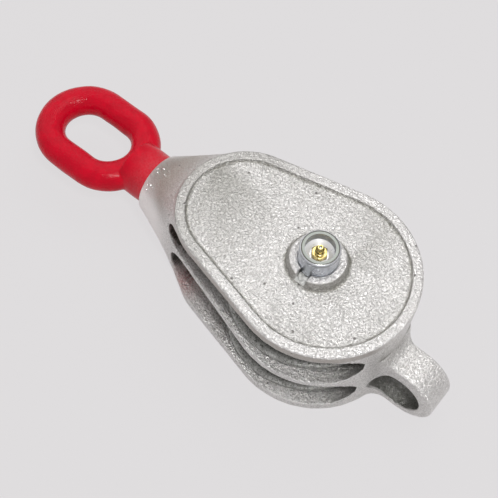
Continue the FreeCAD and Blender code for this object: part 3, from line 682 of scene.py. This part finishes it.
class Skin:
    """A new piece of the visual model, and the mesh work on it."""

    SAME_POINT = 2e-6
    NO_LENGTH = 1e-7

    def __init__(self, name: str, mesh: bpy.types.Mesh) -> None:
        """Puts a piece with that mesh in the scene."""
        self.piece = put(name, mesh)

    @classmethod
    def of(cls, node: str, name: str) -> "Skin":
        """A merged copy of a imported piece.

        Args:
            node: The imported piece.
            name: Name of the copy.

        Returns:
            The copy.
        """
        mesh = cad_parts[node].data.copy()
        mesh.name = name
        mesh.materials.clear()
        skin = cls(name, mesh)
        shape = bmesh.new()
        shape.from_mesh(mesh)
        bmesh.ops.remove_doubles(shape, verts=shape.verts, dist=cls.SAME_POINT)
        bmesh.ops.dissolve_degenerate(shape, edges=shape.edges, dist=cls.NO_LENGTH)
        shape.to_mesh(mesh)
        shape.free()
        if mesh.has_custom_normals:
            with bpy.context.temp_override(object=skin.piece, active_object=skin.piece):
                bpy.ops.mesh.customdata_custom_splitnormals_clear()
        return skin

    def settle(self) -> None:
        """Applies the piece's modifiers to its mesh."""
        graph = bpy.context.evaluated_depsgraph_get()
        graph.update()
        settled = bpy.data.meshes.new_from_object(self.piece.evaluated_get(graph))
        old = self.piece.data
        self.piece.modifiers.clear()
        self.piece.data = settled
        bpy.data.meshes.remove(old)
        settled.name = self.piece.name

    def soften(self, voxel: float, rounds: int, most: int) -> None:
        """Rounds the edges: small cubes, a few rounds of smoothing, then fewer faces.

        Args:
            voxel: Size of the cubes.
            rounds: Rounds of smoothing.
            most: Most triangles that are kept.
        """
        cubes = self.piece.modifiers.new("cubes", "REMESH")
        cubes.mode = "VOXEL"
        cubes.voxel_size = voxel
        smooth = self.piece.modifiers.new("smooth", "SMOOTH")
        smooth.iterations = rounds
        self.settle()
        triangles = 2 * len(self.piece.data.polygons)
        if triangles > most:
            self.piece.modifiers.new("fewer", "DECIMATE").ratio = most / triangles
            self.settle()
        self.piece.data.shade_smooth()

    @staticmethod
    def rows(vectors: bpy.types.bpy_prop_collection, key: str) -> Array:
        """Reads a vector of each item.

        Args:
            vectors: The items.
            key: Name of the vector.

        Returns:
            One row for each item.
        """
        flat = np.empty(len(vectors) * 3)
        vectors.foreach_get(key, flat)
        return flat.reshape(-1, 3)

    @property
    def points(self) -> Array:
        """Corner points, one row each."""
        return self.rows(self.piece.data.vertices, "co")

    @property
    def normals(self) -> Array:
        """Directions outward at the corner points."""
        return self.rows(self.piece.data.vertex_normals, "vector")

    def put_points(self, points: Array, low: object = cad_box[0], high: object = cad_box[1]) -> None:
        """Writes the corner points, kept inside a box.

        Args:
            points: Corner points.
            low: Lowest corner of the box.
            high: Highest corner of the box.
        """
        kept = np.clip(points, np.array(low), np.array(high))
        self.piece.data.vertices.foreach_set("co", kept.ravel())
        self.piece.data.update()

    def roughen(self, scale: float, depth: float, mask: Array, sink: float = 0.0) -> None:
        """Moves the surface in and out a little, as sand leaves a casting.

        Args:
            scale: Lumps per metre.
            depth: How far the surface moves.
            mask: Share of it for each corner point.
            sink: How much more of the surface goes in than out.
        """
        points, normals = self.points, self.normals
        lumps = np.array([noise.noise(Vector(p) * scale) for p in points]) - sink
        self.put_points(points + normals * (lumps * mask * depth)[:, None])

    def mark(self, name: str, share: Array) -> None:
        """Writes a share from 0 to 1 on the corner points, as the attribute of that name."""
        layer = self.piece.data.attributes.new(name, "FLOAT", "POINT")
        layer.data.foreach_set("value", np.clip(share, 0.0, 1.0).astype(np.float32))

    def mark_relief(self, rounds: int, span: float) -> None:
        """Marks ridges, which the casting's finish lightens as painted highlight and wear, and hollows,
        which it darkens as painted shade.

        Args:
            rounds: Rounds of averaging, which set how wide a ridge may be.
            span: Height of a full ridge over the averaged surface.
        """
        points, mesh = self.points, self.piece.data
        ends = np.empty(len(mesh.edges) * 2, dtype=np.int64)
        mesh.edges.foreach_get("vertices", ends)
        first, second = ends[0::2], ends[1::2]
        count = np.bincount(ends, minlength=len(points))[:, None]
        even = points.copy()
        for _ in range(rounds):
            total = np.stack([np.bincount(first, even[second, k], len(points))
                              + np.bincount(second, even[first, k], len(points)) for k in range(3)], axis=1)
            even = (even + total / np.maximum(count, 1)) / 2
        rise = ((points - even) * self.normals).sum(axis=1) / span
        self.mark("convexity", rise)
        self.mark("crevice_shade", -rise)

    def dress(self, material: Material, body: str, slot: str, *nodes: str) -> None:
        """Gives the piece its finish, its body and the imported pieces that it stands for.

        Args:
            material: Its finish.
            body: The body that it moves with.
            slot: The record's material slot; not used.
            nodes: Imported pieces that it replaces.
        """
        self.piece.data.materials.clear()
        self.piece.data.materials.append(material)
        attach(self.piece, body)
        if nodes:
            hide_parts(*nodes)
        log.info("%s: %d faces on %s", self.piece.name, len(self.piece.data.polygons), body)


def paint(material: Material, *nodes: str) -> None:
    """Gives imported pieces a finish.

    Args:
        material: Their finish.
        nodes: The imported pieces.
    """
    for node in nodes:
        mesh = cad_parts[node].data
        if not mesh.materials:
            mesh.materials.append(material)
        for number in range(len(mesh.materials)):
            mesh.materials[number] = material
        log.info("%s: %s", node, material.name)


class GrowthTree(NodeKit):
    """A geometry tree with named inputs, run on one piece and then removed."""

    def __init__(self, name: str) -> None:
        """Starts a tree with a geometry input and output.

        Args:
            name: The tree's name.
        """
        super().__init__(bpy.data.node_groups.new(name, "GeometryNodeTree"))
        for way in ("INPUT", "OUTPUT"):
            self.tree.interface.new_socket("Geometry", in_out=way, socket_type="NodeSocketGeometry")
        self.entry = self.node("NodeGroupInput")
        self.place = self.node("GeometryNodeInputPosition").outputs[0]
        self.values: dict[str, object] = {}

    def size(self, name: str, value: object, kind: str = "Float") -> "Field":
        """Adds a named input.

        Args:
            name: The input's name.
            value: Its value on the piece.
            kind: Kind of socket.

        Returns:
            The input, for use in sums.
        """
        item = self.tree.interface.new_socket(name, in_out="INPUT", socket_type=f"NodeSocket{kind}")
        self.values[item.identifier] = value
        return Field(self, self.entry.outputs[name])

    def close(self, geometry: bpy.types.Node, material: Material) -> None:
        """Ends the tree: real meshes, smooth, in one material.

        Args:
            geometry: The node that gives what has been made.
            material: Its finish.
        """
        real = self.node("GeometryNodeRealizeInstances", {0: geometry})
        smooth = self.node("GeometryNodeSetShadeSmooth", {0: real})
        painted = self.node("GeometryNodeSetMaterial",
                            {0: smooth, "Material": self.size("Finish", material, "Material")})
        self.node("NodeGroupOutput", {0: painted})

    def run(self, base: Skin) -> None:
        """Runs the tree on a piece, whose mesh becomes the result.

        Args:
            base: The piece.
        """
        grown = base.piece.modifiers.new(self.tree.name, "NODES")
        grown.node_group = self.tree
        for identifier, value in self.values.items():
            grown[identifier] = value
        base.settle()


@dataclass
class Casting:
    """The body: cheeks, partition, head and becket in one casting, and the zinc splashed on it."""

    voxel: float = 0.8 * MM
    rounds: int = 2
    most_triangles: int = 190000
    sand_scale: float = 110.0
    sand_depth: float = 0.14 * MM
    ripple_scale: float = 300.0
    ripple_depth: float = 0.13 * MM
    pin_smooth: float = 26.0 * MM
    swivel_smooth: float = 20.0 * MM
    smooth_fade: float = 4.0 * MM
    head_ripple: float = 0.25
    relief_rounds: int = 7
    relief_span: float = 0.30 * MM
    bead_places: tuple[Place, ...] = (
        (0.1415, 0.0043, 0.0870), (0.1421, 0.0108, 0.0855), (0.1502, 0.0042, 0.0811),
        (0.1484, 0.0184, 0.0766), (0.1442, -0.0035, 0.0852))
    bead_patch: float = 5.0 * MM
    bead_fade: float = 1.0 * MM
    bead_density: float = 3.4e4
    bead_sizes: Span = mm(0.40, 0.95)
    bead_seed: int = 7
    wide_x: float = -7.5 * MM
    wide_radius: float = 71.3 * MM
    narrow_x: float = 66.5 * MM
    narrow_radius: float = 54.0 * MM
    inner_depth: float = 20.0 * MM
    end_wall: Span = mm(95.0, 113.0)
    mouth_y: float = 37.6 * MM
    mouth_fade: float = 3.0 * MM
    finish: GalvanisedCasting = GalvanisedCasting()

    def build(self) -> None:
        """Makes the casting's skin and the beads of zinc on it."""
        material = self.finish.material()
        skin = Skin.of("body_casting", "casting_skin")
        skin.soften(self.voxel, self.rounds, self.most_triangles)
        skin.mark_relief(self.relief_rounds, self.relief_span)
        # The inner share places the painted shade in the slots and on the cheek's side wall.
        skin.mark("inner", self.inner_share(skin.points))
        share = self.rough_share(skin.points)
        skin.roughen(self.sand_scale, self.sand_depth, share)
        skin.roughen(self.ripple_scale, self.ripple_depth, share * self.flat_share(skin.points))
        self.splash(skin)
        skin.dress(material, "frame", "galvanised_casting", "body_casting")

    def rough_share(self, points: Array) -> Array:
        """Where the cast surface is rough: not in the bores or on the faces beside them."""
        from_swivel = np.hypot(points[:, 1], points[:, 2] - cad_middle("swivel_bush").z)
        return (fade(np.hypot(points[:, 0], points[:, 1]), self.pin_smooth, self.smooth_fade)
                * fade(from_swivel, self.swivel_smooth, self.smooth_fade))

    def inner_share(self, points: Array) -> Array:
        """How far a point lies inside the cheeks' outline, which is two round ends and their tangents.

        Args:
            points: Corner points.

        Returns:
            0 at the outline and 1 at the full depth, for each point.
        """
        span = self.narrow_x - self.wide_x
        lean = (self.wide_radius - self.narrow_radius) / span
        rise = math.sqrt(1.0 - lean * lean)
        along, across = points[:, 0] - self.wide_x, np.abs(points[:, 1])
        turn = rise * along - lean * across
        narrow = np.where(turn > rise * span, np.hypot(along - span, across) - self.narrow_radius,
                          rise * across + lean * along - self.wide_radius)
        outside = np.where(turn < 0.0, np.hypot(along, across) - self.wide_radius, narrow)
        share = fade(-outside, 0.0, self.inner_depth)
        end_wall = (points[:, 0] > self.end_wall[0]) & (points[:, 0] < self.end_wall[1])
        behind_mouth = fade(-across, -self.mouth_y, self.mouth_fade)
        return np.where(end_wall, np.maximum(share, behind_mouth), share)

    def flat_share(self, points: Array) -> Array:
        """Share of the ripple for each corner point: less on the head, which was ground smoother."""
        start, full = self.finish.head_span
        return np.clip((full - points[:, 0]) / (full - start), self.head_ripple, 1.0)

    def splash(self, skin: Skin) -> None:
        """Beads of zinc left by the bath on the head, scattered over the skin.

        Args:
            skin: The casting's skin.
        """
        zinc = Metal.BRIGHT_ZINC.value.material()
        beads = Skin("zinc_beads", skin.piece.data.copy())
        grow = GrowthTree("bead_scatter")
        small, large = (grow.size(name, value) for name, value in zip(("Least", "Most"), self.bead_sizes))
        seed = grow.size("Seed", self.bead_seed, "Int")
        reach = grow.size("Patch", self.bead_patch)
        density = grow.size("Density", self.bead_density)
        ways = [grow.node("ShaderNodeVectorMath", {0: grow.place, 1: middle}, operation="DISTANCE")
                for middle in self.bead_places]
        near = sum((Field(grow, away.outputs["Value"]) - reach).fall(-self.bead_fade, 0.0) for away in ways)
        spread = grow.node("GeometryNodeDistributePointsOnFaces",
                           {0: grow.entry, "Density": near * density, "Seed": seed})
        bead = grow.node("GeometryNodeMeshIcoSphere", {"Subdivisions": 2})
        size = grow.node("FunctionNodeRandomValue", {2: small, 3: large, 8: seed})
        placed = grow.node("GeometryNodeInstanceOnPoints",
                           {0: spread, "Instance": bead, "Rotation": spread.outputs["Rotation"],
                            "Scale": size.outputs[1]})
        grow.close(placed, zinc)
        grow.run(beads)
        beads.put_points(beads.points)
        beads.dress(zinc, "frame", "galvanised_casting")


def cad_middle(node: str) -> Vector:
    """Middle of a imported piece's box."""
    low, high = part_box(node)
    return (low + high) / 2


@dataclass
class Sheaves:
    """The two sheaves, turned from one section, with their bushes and thrust washers."""

    radius: float = 65.5 * MM
    rim_half: float = 17.5 * MM
    rim_inner: float = 44.5 * MM
    web_outer: float = 42.7 * MM
    web_half: float = 6.0 * MM
    web_inner: float = 28.8 * MM
    hub_radius: float = 27.0 * MM
    hub_half: float = 17.05 * MM
    bore: float = 19.0 * MM
    mouth_half: float = 13.567 * MM
    groove_apex: float = 42.0 * MM
    groove_round: float = 8.5 * MM
    edge_round: float = 1.3 * MM
    root_round: float = 2.4 * MM
    bore_round: float = 0.4 * MM
    ring_radius: float = 50.0 * MM
    ring_steps: int = 200
    round_steps: int = 7
    lump_scale: float = 260.0
    lump_depth: float = 0.35 * MM
    lump_mean: float = 0.55
    lump_start: float = 31.0 * MM
    lump_fade: float = 3.0 * MM
    finish: GalvanisedSheave = GalvanisedSheave()

    def build(self) -> None:
        """Turns the sheaves and gives their bearings a finish."""
        material = self.finish.material()
        for place in ("front", "rear"):
            node = f"{place}_sheave"
            wheel = self.section(f"{place}_sheave_wheel")
            self.turn(wheel, cad_middle(node).z, material)
            wheel.put_points(wheel.points)
            wheel.dress(material, f"{place}_wheel", "galvanised_sheave", node)
        paint(Metal.BRONZE.value.material(), "swivel_bush",
              *(f"{place}_{ring}" for place in ("front", "rear")
                for ring in ("sheave_bush", "outer_thrust_washer", "inner_thrust_washer")))

    def section(self, name: str) -> Skin:
        """A sheave's section: corners, each with the radius that rounds it.

        Args:
            name: The piece's name.

        Returns:
            A piece whose mesh is the closed outline.
        """
        edge, root = self.edge_round, self.root_round
        upper = [(self.groove_apex, 0.0, self.groove_round), (self.radius, self.mouth_half, edge),
                 (self.radius, self.rim_half, edge), (self.rim_inner, self.rim_half, edge),
                 (self.web_outer, self.web_half, root), (self.web_inner, self.web_half, root),
                 (self.hub_radius, self.hub_half, edge), (self.bore, self.hub_half, self.bore_round)]
        lower = [(across, -height, rounding) for across, height, rounding in reversed(upper[1:])]
        corners = upper + lower
        mesh = bpy.data.meshes.new(name)
        mesh.from_pydata([(across - self.ring_radius, height, 0.0) for across, height, _ in corners],
                         [(k, (k + 1) % len(corners)) for k in range(len(corners))], [])
        layer = mesh.attributes.new("rounding", "FLOAT", "POINT")
        layer.data.foreach_set("value", [rounding for _, _, rounding in corners])
        return Skin(name, mesh)

    def turn(self, wheel: Skin, middle: float, material: Material) -> None:
        """Rounds the section's corners and turns it round the pin's axis.

        Args:
            wheel: The piece with the section.
            middle: Height of the sheave's middle.
            material: Its finish.
        """
        grow = GrowthTree(f"{wheel.piece.name}_lathe")
        radius = grow.size("Ring radius", self.ring_radius)
        steps = grow.size("Ring steps", self.ring_steps, "Int")
        corner = grow.size("Corner steps", self.round_steps, "Int")
        height = grow.size("Middle", middle)
        scale = grow.size("Lump scale", self.lump_scale)
        depth = grow.size("Lump depth", self.lump_depth)
        start = grow.size("Lump start", self.lump_start)
        outline = grow.node("GeometryNodeMeshToCurve", {0: grow.entry})
        rounding = grow.node("GeometryNodeInputNamedAttribute", {0: "rounding"})
        rounded = grow.node("GeometryNodeFilletCurve", {0: outline, "Count": corner, "Radius": rounding,
                                                        "Limit Radius": True}, mode="POLY")
        ring = grow.node("GeometryNodeCurvePrimitiveCircle", {"Resolution": steps, "Radius": radius})
        upright = grow.node("GeometryNodeSetCurveNormal", {0: ring}, mode="Z_UP")
        turned = grow.node("GeometryNodeCurveToMesh", {0: upright, "Profile Curve": rounded})
        lift = grow.node("ShaderNodeCombineXYZ", {"Z": height})
        lifted = grow.node("GeometryNodeSetPosition", {0: turned, "Offset": lift})
        across = length(*grow.split(grow.place)[:2])
        cloud = grow.node("ShaderNodeTexNoise", {0: grow.place, "Scale": scale, "Detail": 2.0})
        lumps = Field(grow, cloud.outputs[0]) - self.lump_mean
        rough = (across - start).ramp(0.0, self.lump_fade) * lumps * depth
        normal = grow.node("GeometryNodeInputNormal")
        push = grow.node("ShaderNodeVectorMath", {0: normal, "Scale": rough}, operation="SCALE")
        cast = grow.node("GeometryNodeSetPosition", {0: lifted, "Offset": push})
        grow.close(cast, material)
        grow.run(wheel)


@dataclass
class PinGroup:
    """The pin with its nipple, its lock key, and what holds it at the rear."""

    key_voxel: float = 0.30 * MM
    key_rounds: int = 1
    key_triangles: int = 24000
    key_lumps: float = 480.0
    key_depth: float = 1.6 * MM
    key_sink: float = 0.30
    key_seat: Span = mm(0.4, 0.6)
    zinc: GalvanisedCasting = GalvanisedCasting()

    def build(self) -> None:
        """Gives the pin's pieces their finishes."""
        key = Skin.of("pin_lock_key", "lock_key_skin")
        key.soften(self.key_voxel, self.key_rounds, self.key_triangles)
        low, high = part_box("pin_lock_key")
        share = fade(key.points[:, 2] - low.z, *self.key_seat)
        key.roughen(self.key_lumps, self.key_depth, share, self.key_sink)
        key.put_points(key.points, low, high)
        key.dress(bpy.data.materials[self.zinc.name], "frame", "galvanised_casting", "pin_lock_key")
        paint(PlatedPin(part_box("sheave_pin")[1].z).material(), "sheave_pin")
        paint(BrassNipple(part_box("grease_nipple")[1].z).material(), "grease_nipple")
        for metal, nodes in ((Metal.ZINC_STEEL, ("swivel_split_pin", "nipple_ball")),
                             (Metal.SPRING_STEEL, ("nipple_spring", "pin_retaining_ring")),
                             (Metal.WASHER_STEEL, ("pin_end_washer", "swivel_thrust_washer"))):
            paint(metal.value.material(), *nodes)


@dataclass
class SwivelEye:
    """The red eye with its collar and shank, and the nut under the head."""

    voxel: float = 0.7 * MM
    rounds: int = 4
    most_triangles: int = 150000
    forge_scale: float = 60.0
    forge_depth: float = 0.35 * MM
    shank_end: float = 157.0 * MM
    shank_radius: float = 14.98 * MM
    shank_share: float = 0.93
    shank_fade: Span = mm(1.0, 6.0)
    finish: RedEnamel = RedEnamel()

    def build(self) -> None:
        """Makes the eye's skin and paints the nut."""
        material = self.finish.material()
        eye = Skin.of("swivel_eye", "eye_skin")
        eye.soften(self.voxel, self.rounds, self.most_triangles)
        share = fade(eye.points[:, 0] - self.shank_end, *self.shank_fade)
        eye.roughen(self.forge_scale, self.forge_depth, share)
        self.true_shank(eye)
        eye.dress(material, "eye", "red_paint", "swivel_eye")
        paint(material, "swivel_nut")

    def true_shank(self, eye: Skin) -> None:
        """Puts the shank back to its turned size.

        Args:
            eye: The eye's skin.
        """
        points = eye.points
        axis = np.array([0.0, cad_middle("swivel_bush").z])
        across = points[:, 1:] - axis
        radius = np.hypot(across[:, 0], across[:, 1])
        shank = (points[:, 0] < self.shank_end) & (radius > self.shank_radius * self.shank_share)
        points[shank, 1:] = across[shank] * (self.shank_radius / radius[shank])[:, None] + axis
        eye.put_points(points)


@dataclass
class Studio:
    """Floor, light, background and camera."""

    ground: Colour = (0.735, 0.719, 0.727, 1.0)
    world_strength: float = 0.40
    world_mirrored: float = 0.50
    floor_seen: float = 0.92
    floor_mirrored: float = 0.34
    azimuth: float = -144.5
    elevation: float = 61.3
    roll: float = 4.0
    distance: float = 0.700
    aim_right: float = 0.0499
    aim_up: float = -0.0088
    aim_height: float = 0.104
    lens: float = 69.715
    nearest: float = 0.01
    floor_half: float = 6.0
    floor_level: float = -0.05 * MM
    lamp_aim: Place = (0.05, 0.0, 0.05)
    lamps: tuple[tuple[str, Place, float, float], ...] = (
        ("key", (0.90, -0.30, 0.90), 1.30, 3.0),
        ("over", (0.02, -0.38, 1.10), 0.80, 3.5),
        ("beside_camera", (-0.35, 0.30, 1.20), 0.12, 7.2))

    def build(self) -> None:
        """Sets the whole studio up."""
        bpy.context.scene.view_settings.view_transform = "Standard"
        self.camera()
        self.floor()
        self.world()
        for lamp in self.lamps:
            self.lamp(*lamp)

    def camera(self) -> None:
        """The camera at the photograph's angle."""
        turn, rise, lean = (math.radians(angle) for angle in (self.azimuth, self.elevation, self.roll))
        back = Vector((math.sin(turn) * math.cos(rise), -math.cos(turn) * math.cos(rise), math.sin(rise)))
        level = Vector((math.cos(turn), math.sin(turn), 0.0))
        steep = back.cross(level)
        right = math.cos(lean) * level + math.sin(lean) * steep
        up = math.cos(lean) * steep - math.sin(lean) * level
        data = bpy.data.cameras.new("camera")
        data.lens = self.lens
        data.clip_start = self.nearest
        camera = put("camera", data)
        place = (back * self.distance - right * self.aim_right - up * self.aim_up
                 + Vector((0.0, 0.0, self.aim_height)))
        rows = [(right[i], up[i], back[i], place[i]) for i in range(3)]
        camera.matrix_world = Matrix(rows + [(0.0, 0.0, 0.0, 1.0)])
        bpy.context.scene.camera = camera

    def floor(self) -> None:
        """A plain pale floor that keeps a soft shadow."""
        mesh = bpy.data.meshes.new("floor")
        half, low = self.floor_half, self.floor_level
        corners = [(-half, -half, low), (half, -half, low), (half, half, low), (-half, half, low)]
        mesh.from_pydata(corners, [], [(0, 1, 2, 3)])
        floor = put("floor", mesh)
        s = Surface("floor")
        glow = s.node("ShaderNodeEmission", {0: self.ground})
        matt = s.node("ShaderNodeBsdfDiffuse", {0: self.ground})
        share = self.seen(s, self.floor_seen, self.floor_mirrored)
        mix = s.node("ShaderNodeMixShader", {0: share, 1: matt, 2: glow})
        s.node("ShaderNodeOutputMaterial", {0: mix})
        mesh.materials.append(s.material)

    @staticmethod
    def seen(kit: NodeKit, direct: float, mirrored: float) -> Field:
        """Parts what is seen from what only gives light.

        Args:
            kit: The node tree.
            direct: Share for rays from the camera.
            mirrored: Share for rays from a mirror or glass.

        Returns:
            The share, 0 for all other rays.
        """
        paths = kit.node("ShaderNodeLightPath").outputs
        glossy = Field(kit, paths["Is Glossy Ray"]) + Field(kit, paths["Is Transmission Ray"])
        return Field(kit, paths["Is Camera Ray"]) * direct + glossy * mirrored

    def world(self) -> None:
        """Even light from all round, and the background's colour for what is seen."""
        world = bpy.data.worlds.new("world")
        world.use_nodes = True
        bpy.context.scene.world = world
        kit = NodeKit(world.node_tree)
        kit.tree.nodes.clear()
        light = kit.node("ShaderNodeBackground", {0: (1.0, 1.0, 1.0, 1.0),
                                                  "Strength": self.world_strength})
        shown = kit.node("ShaderNodeBackground", {0: self.ground})
        share = self.seen(kit, 1.0, self.world_mirrored)
        mix = kit.node("ShaderNodeMixShader", {0: share, 1: light, 2: shown})
        kit.node("ShaderNodeOutputWorld", {0: mix})

    def lamp(self, name: str, place: Place, size: float, power: float) -> None:
        """One square lamp turned to the block.

        Args:
            name: The lamp's name.
            place: Where it stands.
            size: Its side.
            power: Its power in watts.
        """
        data = bpy.data.lights.new(name, "AREA")
        data.size = size
        data.energy = power
        lamp = put(name, data)
        aim = Vector(self.lamp_aim) - Vector(place)
        lamp.rotation_mode = "QUATERNION"
        lamp.rotation_quaternion = aim.to_track_quat("-Z", "Y")
        lamp.location = place


def main() -> None:
    """Builds the block's sub-assemblies and the studio."""
    logging.basicConfig(level=logging.INFO, format="%(name)s %(message)s")
    Studio().build()
    for assembly in (Casting(), Sheaves(), PinGroup(), SwivelEye()):
        assembly.build()


if __name__ == "__main__":
    main()
